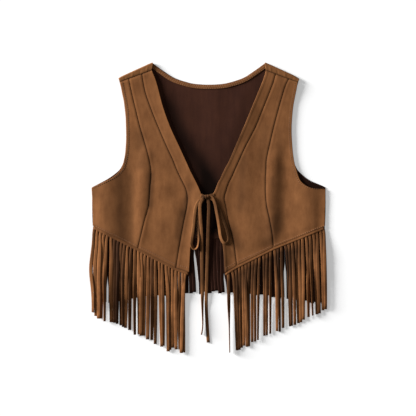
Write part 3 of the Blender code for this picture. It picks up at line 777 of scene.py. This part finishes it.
def back_panel(material):
    """The back and its grid: rows between its two edges, then over each shoulder and down to the seam.

    Its upper face is the suede's reverse, up to its edges. Past the half turn its outer face shows.
    """
    last, neck_row = len(BACK_HALF), list(BACK_HALF).index("neck")
    hem = np.array(EDGE_LINES) / HEM_SPEED
    even = np.arange(1, last * LINE_STEPS + 1) / LINE_STEPS
    t = np.concatenate([hem, even[even > hem[-1] + ROW_CLEARANCE]])
    inner, outer, outward = back_edges(t)
    width = np.linalg.norm(outer - inner, axis=1)
    from_inner = spread(EDGE_LINES, EDGE_LINES, BACK_COLUMNS, width)
    share = from_inner / width[:, None]
    flat = inner[:, None] + (outer - inner)[:, None] * share[..., None]
    flat[..., 1] -= (1 - np.clip(t, 0, 1))[:, None] * BACK_HEM_RISE * share * (1 - share)
    neck = [row[0] for row in BACK_HALF.values()][neck_row:]
    neck = np.vstack([curve(neck, np.linspace(0, len(neck) - 1, NECK_POINTS)), inner[-1:]])
    to_arm, to_neck = distance_to(flat, outer), distance_to(flat, neck)
    halves = []
    for side in (-1, 1):
        sag = UNDERARM_SAG[side] * bell(flat[..., 0], *UNDERARM) * np.exp(-to_arm / SAG_REACH)
        x, y = flat[..., 0] * side, flat[..., 1] - sag
        rise = folds(x, y, BACK_CREASES) * (1 - smooth(t, last - 3, last - 1))[:, None]
        away = outward * (side, 1)
        fold = np.column_stack([x[-1], y[-1]])
        rows, near = shoulder_rows(fold, share[-1], width[-1], away, side)
        grid = np.vstack([np.dstack([x, y, CLOTH / 2 + rise]), rows])
        beside_neck = np.vstack([to_neck, np.tile(from_inner[-1], (len(rows), 1))])
        beside_arm = np.vstack([to_arm, np.tile(width[-1] - from_inner[-1], (len(rows), 1))])
        to_hem, to_seam = np.full(beside_arm.shape, FAR), np.full(beside_arm.shape, FAR)
        to_hem[: len(t)] = (t * HEM_SPEED)[:, None]
        to_seam[-len(near) :] = near[:, None]
        below = (grid[..., :2] * (side, 1) - FOLD_NECK) @ -outward
        drops = [drop * np.exp(-d / CORNER_REACH) for drop, d in zip(CORNER_DROPS, (beside_neck, beside_arm))]
        grid[..., :2] -= away * (sum(drops) * (1 - smooth(below, -3, 6)))[..., None]
        half = ROUND * rounded(beside_neck) * rounded(beside_arm) * rounded(to_hem) * rounded(to_seam)
        half[[0, -1]] = 0
        half[:, -1] = 0
        half[t.searchsorted(neck_row) :, 0] = 0
        # Painted highlight on the back's rims, painted shade in its seams and along the top of each
        # shoulder's fold
        shade = edge_shade(beside_arm, "turned") + edge_shade(to_seam, "seam")
        shade += edge_shade(beside_neck, "turned")
        shade -= 0.3 * (1 - smooth(below, -2.5, 2.5))
        # Painted shadow on the back's inner face
        shade[: len(t)] -= inside_shade(x, y) * smooth(last - t, 0, 1.5)[:, None]
        halves.append((grid, half, np.maximum(shade, BACK_DARKEST)))
    points, faces, outer_face, shades, count = [], [], [], [], 0
    for grid, half, shade in halves:
        made, cells, above = two_sided(grid, half)
        points.append(made)
        faces.append(cells + count)
        count += len(made)
        outer_face.append(np.where(on_both_sides(half, half, grid) <= 0, 1, 1 - above))
        shades.append(on_both_sides(shade, half, grid))
    looks = {"outer": np.concatenate(outer_face), "shade": np.concatenate(shades)}
    faces = np.vstack(faces).tolist()
    piece = add_piece("back_panel_suede", np.vstack(points), faces, material, "suede_reverse", **looks)
    shape = bmesh.new()
    shape.from_mesh(piece.data)
    middle_line = [vert for vert in shape.verts if abs(vert.co.x) < WELD * MM]
    bmesh.ops.remove_doubles(shape, verts=middle_line, dist=WELD * MM)
    shape.to_mesh(piece.data)
    shape.free()
    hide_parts("back_panel")
    return piece, np.hstack([halves[0][0][:, ::-1], halves[1][0]])


def back_neck_facing(material):
    """A narrow strip of the outer suede inside the back neck, moved in from the neck line's own points. It is
    given with the two lines along which it is stitched."""
    inner, _, _ = back_edges(np.linspace(list(BACK_HALF).index("neck"), len(BACK_HALF), FACING_STATIONS))
    neck = np.vstack([inner[:0:-1] * (-1, 1), inner])
    slope = unit(np.gradient(neck, axis=0))
    into_cloth = np.column_stack([slope[:, 1], -slope[:, 0]])
    offset = np.array(FACING_LINES)
    flat = neck[:, None] + into_cloth[:, None] * (FACING_EDGE + offset)[None, :, None]
    length = gone(neck)
    ends = np.minimum(length, length[-1] - length)[:, None]
    edge = np.minimum(offset, FACING_WIDTH - offset)[None]
    half = FACING_CLOTH / 2 * rounded(edge * CLOTH / FACING_CLOTH) * rounded(ends)
    groove = bell(edge, 1.9, 0.4)
    height = np.full(half.shape, CLOTH + SEAM_GAP + FACING_CLOTH / 2)
    middle = np.dstack([flat, height + 0.25 * bell(edge, 3.75, 1.5) - 0.2 * groove])
    # Painted highlight along its edges and painted shade in its stitches' groove
    shade = 0.1 * bell(edge, 0.4, 0.5) - 0.25 * groove
    piece = add_cloth("back_neck_facing_suede", middle, half, material, "suede", shade)
    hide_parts("back_neck_facing")
    return piece, [middle[STITCHED_STATIONS, line] + UP * FACING_CLOTH / 2 for line in FACING_STITCHED]


def strips(paths, roll, width, thickness, across=None):
    """Points of flat strips, as (strip, station, place round it): a rounded section across each path, level
    and then rolled about it by an angle in radians. across gives its wide way where that isn't level."""
    ahead = unit(np.gradient(paths, axis=1))
    side = np.cross(ahead, UP) if across is None else np.broadcast_to(across, ahead.shape)
    side = unit(side - (side * ahead).sum(-1, keepdims=True) * ahead)
    over = np.cross(side, ahead)
    turn = np.asarray(roll)[..., None]
    wide, high = side * np.cos(turn) + over * np.sin(turn), over * np.cos(turn) - side * np.sin(turn)
    wide = wide * np.broadcast_to(width, paths.shape[:2])[..., None]
    high = high * np.broadcast_to(thickness, paths.shape[:2])[..., None]
    return paths[:, :, None] + wide[:, :, None] * SECTION[:, :1] + high[:, :, None] * SECTION[:, 1:]


def strip_faces(strips_made, stations, places):
    """Quads round each strip, and a face over each of its two ends."""
    index = np.arange(strips_made * stations * places).reshape(strips_made, stations, places)
    after = np.roll(index, -1, axis=2)
    around = np.stack([index[:, :-1], after[:, :-1], after[:, 1:], index[:, 1:]], axis=-1).reshape(-1, 4)
    return around.tolist() + index[:, 0, ::-1].tolist() + index[:, -1].tolist()


def add_strips(name, rings, material, slot, outer, shade):
    """A piece made of strips; outer and shade are given for each strip and station."""
    count, stations, places = rings.shape[:3]
    looks = {
        look: np.repeat(np.broadcast_to(value, (count, stations)), places, axis=1).ravel()
        for look, value in (("outer", outer), ("shade", shade))
    }
    faces = strip_faces(count, stations, places)
    return add_piece(name, rings.reshape(-1, 3), faces, material, slot, **looks)


def strand_roots(low, high, count):
    """The strands' pitch between two ends of a hem, and their roots' places across."""
    low, high = low + FRINGE_INSET, high - FRINGE_INSET
    pitch = (high - low) / (count - 1 + STRAND_SHARE)
    return pitch, low + pitch * (np.arange(count) + STRAND_SHARE / 2)


def front_fringe(side_name, levels, strands, ridges, material, seed):
    """Strands from under a front's hem, over the back's fringe and down to the surface.

    Each bends towards its end soon below its root, sways a little, tilts by its tone and turns by its twist.
    Light strands lie over dark ones, and strands whose ends are close lie at levels of their own, so that
    they cross without touching.
    """
    draw = np.random.default_rng(seed)
    hem = np.array(sorted(levels["hem"]), float)
    count = len(strands)
    end_x, end_y, tone, twist = np.array(strands, float).T
    pitch, root_x = strand_roots(hem[0, 0], hem[-1, 0], count)
    root_y = np.interp(root_x, hem[:, 0], hem[:, 1]) + ROOT_TUCK
    s = np.linspace(0, 1, STRAND_STATIONS)[None] ** 1.25
    y = root_y[:, None] + (end_y - root_y)[:, None] * s
    phase, sway = draw.uniform(0, 2 * math.pi, (count, 1)), draw.uniform(0.2, 0.8, (count, 1))
    bend = 0.65 * (1 - np.exp(-s / 0.18)) + 0.35 * s
    x = root_x[:, None] + (end_x - root_x)[:, None] * bend / bend[:, -1:]
    x = x + sway * np.sin(phase + 3.6 * s) * smooth(s, 0.04, 0.4)
    outside = 1 if side_name == "left" else -1
    x = x + outside * ROOT_ARC * s / ARC_AT * np.exp(1 - s / ARC_AT)
    if outside < 0:
        bow = OUTER_BOW * np.exp(-np.arange(count) / BOWED_STRANDS)[:, None]
        x = x - bow * np.sin(math.pi * smooth(s, 0, 1)) ** 2
    tilt = np.radians((0.6 - tone) * 20)[:, None] * smooth(s, 0.02, 0.2)
    turn = tilt + np.radians(twist)[:, None] * smooth(s, 0.25, 0.75)
    turn = turn + 0.05 * np.sin(phase * 1.7 + 7 * s) * smooth(s, 0.05, 0.3)
    wide, tip = WIDE_SHARE[side_name], TIP_SHARE[side_name]
    share = TOP_SHARE + (wide - TOP_SHARE) * smooth(s, 0.05, 0.35) - (wide - tip) * smooth(s, 0.7, 1)
    narrow = NARROWER[side_name] * bell(root_x, *NARROW_STRANDS)[:, None]
    share = share * (1 - narrow * smooth(s, 0, 0.15))
    width = pitch * share * draw.uniform(0.94, 1.06, (count, 1))
    back_end = np.interp(x, *np.array(BACK_FRINGE_ENDS, float).T)
    on_back = smooth(y, back_end - 16, back_end + 2)
    support = FLOOR_CLEARANCE + (FRINGE_CLOTH + SEAM_GAP + BACK_STRAND_WIDTH * BACK_ROLL) * on_back
    level = np.where(tone > UPPER_TONE, 1, 0)
    for i in range(1, count):
        if level[i] == level[i - 1] and abs(end_x[i] - end_x[i - 1]) < pitch:
            level[i] = 2 if level[i] == 1 else level[i] + 1
    raised = level[:, None] * smooth(s, 0.1, 0.4)
    lie = support + raised + width / 2 * np.abs(np.sin(turn)) + FRINGE_CLOTH / 2
    root = front_underside(x, root_y[:, None], ridges) + ROOT_LIFT
    z = root + (lie - root) * smooth(s, 0.0, 0.22)
    rings = strips(np.stack([x, y, z], axis=-1), turn, width, FRINGE_CLOTH)
    # Painted shadow of the front's edge on the strands' roots
    under = ROOT_SHADE[side_name] * bell(root_x, *SHADED_ROOTS)[:, None] * smooth(s, 0.02, 0.14)
    under = under * (1 - smooth(s, 0.14, 0.6))
    # Painted shade on dark strands and painted highlight on light ones, by their tone, taken on down each
    # strand
    taken = 0.35 + 0.65 * smooth(s, 0, TONE_REACH[side_name])
    shade = (tone[:, None] - PLAIN_TONE) * TONE_RANGE * taken + 0.05 * np.sin(phase + 3 * s) - under
    outer, shade = smooth(tone, 0.0, 0.3)[:, None], np.clip(shade, -0.7, 0.5)
    node = f"fringe_{side_name}"
    piece = add_strips(f"{node}_strands", rings, material, "suede_fringe", outer, shade)
    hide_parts(node)
    return piece


def back_fringe(material):
    """The back's strands, seen from their reverse, parted where the photo shows the surface between them."""
    draw = np.random.default_rng(3)
    half = BACK_HALF["hem"][1][0]
    pitch, root_x = strand_roots(-half, half, BACK_STRANDS)
    hem_y = BACK_HALF["hem"][0][1] + BACK_HEM_RISE * (root_x / half) ** 2
    end_y = np.interp(root_x, *np.array(BACK_FRINGE_ENDS, float).T)
    end_y = end_y + draw.uniform(-1, 1, BACK_STRANDS) * END_SCATTER
    s = np.linspace(0, 1, STRAND_STATIONS)[None]
    y = (hem_y - 0.6)[:, None] + (end_y - hem_y)[:, None] * s
    each = (BACK_STRANDS, 1)
    phase, sway = draw.uniform(0, 2 * math.pi, each), draw.uniform(0.3, 1.1, each)
    x = root_x[:, None] + 0.5 * sway * np.sin(phase + 4 * s) * s
    for top_x, foot_x, top, foot, half_width in PARTINGS:
        parted = smooth(-y, -top, -top + 24)
        away = np.abs(root_x - top_x)[:, None]
        apart = np.sign(root_x - top_x)[:, None] * half_width * np.exp(-away / 12)
        lean = (foot_x - top_x) * smooth(-y, -top, -foot) * np.exp(-away / 45)
        x = x + (apart + lean) * parted
    turn = (BACK_ROLL + draw.uniform(-0.03, 0.03, each)) * smooth(s, 0.05, 0.35)
    width = pitch * draw.uniform(1.02, 1.06, each)
    z = FLOOR_CLEARANCE + FRINGE_CLOTH / 2 + width / 2 * np.abs(np.sin(turn))
    rings = strips(np.stack([x, y, z], axis=-1), turn, width, FRINGE_CLOTH)
    # Painted shade, uneven from strand to strand, on the back's strands under the fronts; less in the middle
    # gap
    shade = draw.uniform(-0.66, -0.42, each) + 0.3 * bell(root_x, 6, 8)[:, None]
    piece = add_strips("fringe_back_strands", rings, material, "suede_reverse", 0, shade)
    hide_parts("fringe_back")
    return piece


def header(name, x, y, z, offset, thickness, material, slot, outer, shade):
    """A thin strip along a hem, its grid's lines at offsets from its first edge, closed all round."""
    edge = np.minimum(offset, offset[-1] - offset)[None]
    ends = np.minimum(x - x[0], x[-1] - x)[:, None]
    middle = np.dstack([np.broadcast_to(x[:, None], y.shape), y, z])
    half = thickness / 2 * rounded(edge) * rounded(ends)
    return add_cloth(name, middle, half, material, slot, shade, outer)


def front_header(side_name, levels, ridges, material):
    """The uncut strip that a front's strands hang from: it shows below the hem's seam, level with the hem."""
    hem = np.array(sorted(levels["hem"]), float)
    x = np.linspace(hem[0, 0] + FRINGE_INSET, hem[-1, 0] - FRINGE_INSET, HEADER_STATIONS)
    hem_y = np.interp(x, hem[:, 0], hem[:, 1])
    offset = np.array(FRONT_HEADER_LINES)
    y = (hem_y + HEADER_TUCK)[:, None] - offset[None]
    lift = HEADER_LIFT[side_name] + 0.3 * smooth(offset, HEADER_TUCK, 5)[None]
    z = front_underside(x, hem_y, ridges)[:, None] + lift
    # Painted shadow in a dark line where the strip goes in under the hem
    shade = HEADER_SHADE[side_name] - 0.35 * bell(offset, HEADER_TUCK, 0.7)[None]
    name, thickness = f"fringe_{side_name}_header", FRINGE_CLOTH + 0.3
    return header(name, x, y, z, offset, thickness, material, "suede_fringe", 1, shade)


def back_header(material):
    """The strip that the back's strands are cut from, laid inside the hem over their roots."""
    half = BACK_HALF["hem"][1][0] - HEADER_SHORT
    x = np.linspace(-half, half, HEADER_STATIONS)
    offset = np.array(BACK_HEADER_LINES, float)
    y = (BACK_HALF["hem"][0][1] + BACK_HEM_RISE * (x / half) ** 2)[:, None] - HEADER_FOOT + offset[None]
    edge = np.minimum(offset, offset[-1] - offset)[None]
    thickness = 0.8 * (1 - smooth(np.abs(x), half - 40, half))[:, None] + 0.2
    wave = 0.15 * np.sin(x / HEADER_WAVE)[:, None] * (1 - smooth(offset, 0, 6))
    z = CLOTH + 0.15 + thickness / 2 + wave
    # Painted shade, deepest towards its top where the fronts hang over it, and a dark painted line by each
    # edge
    shade = -0.52 - 0.1 * bell(edge, 3, 0.6) - 0.36 * smooth(offset, 3, offset[-1] - 2)[None]
    return header("fringe_back_header", x, y, z, offset, thickness, material, "suede_reverse", 0.06, shade)


def laces(material):
    """The two laces: each from its front's edge through the knot, round its loop and back to its free end."""
    for name, route in LACES.items():
        route = np.array(route, float)
        line = curve(route, np.linspace(0, len(route) - 1, (len(route) - 1) * LACE_STEPS + 1))
        path, roll = line[:, :3], np.radians(90 - line[:, 3])
        rings = strips(path[None], roll[None], LACE_WIDTH, LACE_THICKNESS)
        length = gone(path)[-1]
        # Painted shade and highlight from the route's tone, and a slight wave of wear along the lace
        painted_shade_and_wear = line[None, :, 4] + 0.06 * np.sin(np.linspace(0, 11, len(path)))[None]
        piece = add_strips(name, rings, material, "suede_lace", 1, painted_shade_and_wear)
        side = name.removeprefix("lace_")
        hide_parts(f"tie_loop_{side}", f"tie_end_{side}")


def knot(material):
    """The lace wound round the crossing: turns of a flat strip on an oval about the line through the knot."""
    stations = KNOT_TURNS * KNOT_STEPS + 1
    share = np.linspace(0, 1, stations)
    turn = 2 * math.pi * KNOT_TURNS * share - math.pi / 2
    out = np.column_stack([0 * share, np.cos(turn) * KNOT_RADII[0], np.sin(turn) * KNOT_RADII[1]])
    path = between(KNOT_TOP, KNOT_FOOT, share) + out * (1 - 0.25 * np.abs(2 * share - 1) ** 3)[:, None]
    rings = strips(path[None], np.zeros((1, stations)), KNOT_LACE, LACE_THICKNESS, KNOT_ACROSS)
    # Painted shade, darkest at the knot's top end
    painted_shades = np.linspace(*KNOT_PAINTED_SHADES, stations)
    piece = add_strips("knot_wound_lace", rings, material, "suede_lace", 1, painted_shades)
    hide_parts("tie_knot")


def stitching(name, lines, material):
    """Stitches along lines on the cloth, each a short thread that dips at both its ends."""
    centres, runs = [], []
    for line in lines:
        along = gone(line)
        places = np.arange(STITCH_PITCH, along[-1] - STITCH_PITCH, STITCH_PITCH)
        for found, values in ((centres, line), (runs, unit(np.gradient(line, axis=0)))):
            found.append(np.column_stack([np.interp(places, along, values[:, i]) for i in range(3)]))
    centres, runs = np.vstack(centres), np.vstack(runs)
    share = np.linspace(-0.5, 0.5, 5)
    lift = THREAD * (0.45 - 3.2 * share**2)
    paths = centres[:, None] + runs[:, None] * (share * STITCH_LENGTH)[:, None] + UP * lift[:, None]
    rings = strips(paths, np.zeros(paths.shape[:2]), THREAD, THREAD)
    return add_strips(name, rings, material, "suede", 1, 0)


def floor():
    """A plain pale surface, seamless with the white around it, that gives off a little light of its own."""
    made, tree, shader, place = new_material("matt_white_paper")
    white = mixed(tree, (noise(tree, place, 900), 0), (0.62, 0.62, 0.62, 1), (0.64, 0.64, 0.64, 1))
    inputs = {
        "Base Color": (white, 2),
        "Roughness": 1,
        "Specular IOR Level": 0,
        "Emission Color": WHITE,
        "Emission Strength": FLOOR_GLOW,
    }
    connect(tree, shader, inputs)
    mesh = bpy.data.meshes.new("floor")
    reach, height = FLOOR_REACH * MM, FLOOR_HEIGHT * MM
    corners = [(x * reach, y * reach, height) for x, y in ((-1, -1), (1, -1), (1, 1), (-1, 1))]
    mesh.from_pydata(corners, [], [(0, 1, 2, 3)])
    mesh.materials.append(made)
    surface = bpy.data.objects.new("floor", mesh)
    bpy.context.scene.collection.objects.link(surface)


def studio():
    """A raking soft key light, an even white fill, and a long lens looking straight down."""
    scene = bpy.context.scene
    lamp = bpy.data.lights.new("key", "SUN")
    lamp.energy, lamp.angle = KEY_STRENGTH, math.radians(KEY_ANGLE)
    key = bpy.data.objects.new("key", lamp)
    key.rotation_euler = Vector(KEY_FROM).to_track_quat("Z", "Y").to_euler()
    key.location = Vector(KEY_FROM) * 3
    scene.collection.objects.link(key)
    world = bpy.data.worlds.new("white_room")
    world.use_nodes = True
    tree = world.node_tree
    fill = connect(tree, tree.nodes["Background"], {"Color": WHITE, "Strength": FILL})
    seen = add_node(tree, "ShaderNodeBackground", {"Color": WHITE, "Strength": 1})
    rays = add_node(tree, "ShaderNodeLightPath", {})
    mix = add_node(tree, "ShaderNodeMixShader", {0: (rays, "Is Camera Ray"), 1: (fill, 0), 2: (seen, 0)})
    connect(tree, tree.nodes["World Output"], {"Surface": (mix, 0)})
    scene.world = world
    scene.view_settings.view_transform = "Standard"
    lens = bpy.data.cameras.new("camera")
    lens.sensor_width = SENSOR
    lens.lens = SENSOR * CAMERA_HEIGHT / (FRAME_PIXELS * PIXEL)
    lens.clip_end = 100
    camera = bpy.data.objects.new("camera", lens)
    camera.location = (FRAME_MIDDLE[0] * MM, FRAME_MIDDLE[1] * MM, CAMERA_HEIGHT * MM)
    scene.collection.objects.link(camera)
    scene.camera = camera


def main():
    studio()
    cloth = {use: suede(*settings) for use, settings in SUEDES.items()}
    laces(cloth["lace"])
    knot(cloth["lace"])
    thread = thread_material()
    back, grid = back_panel(cloth["back"])
    facing, facing_lines = back_neck_facing(cloth["panel"])
    uncut = back_header(cloth["back"])
    strands = back_fringe(cloth["back"])
    stitches = stitching("back_neck_stitches", facing_lines, thread)
    for name, levels, rows, ridges, creases, nap, side in SIDES:
        pieces, lines = front_panels(name, levels, ridges, creases, nap, side, cloth["panel"])
        fringe = front_fringe(name, levels, rows, ridges, cloth["strand"], side + 5)
        uncut = front_header(name, levels, ridges, cloth["strand"])
        stitches = stitching(f"front_stitches_{name}", lines, thread)
    floor()


main()
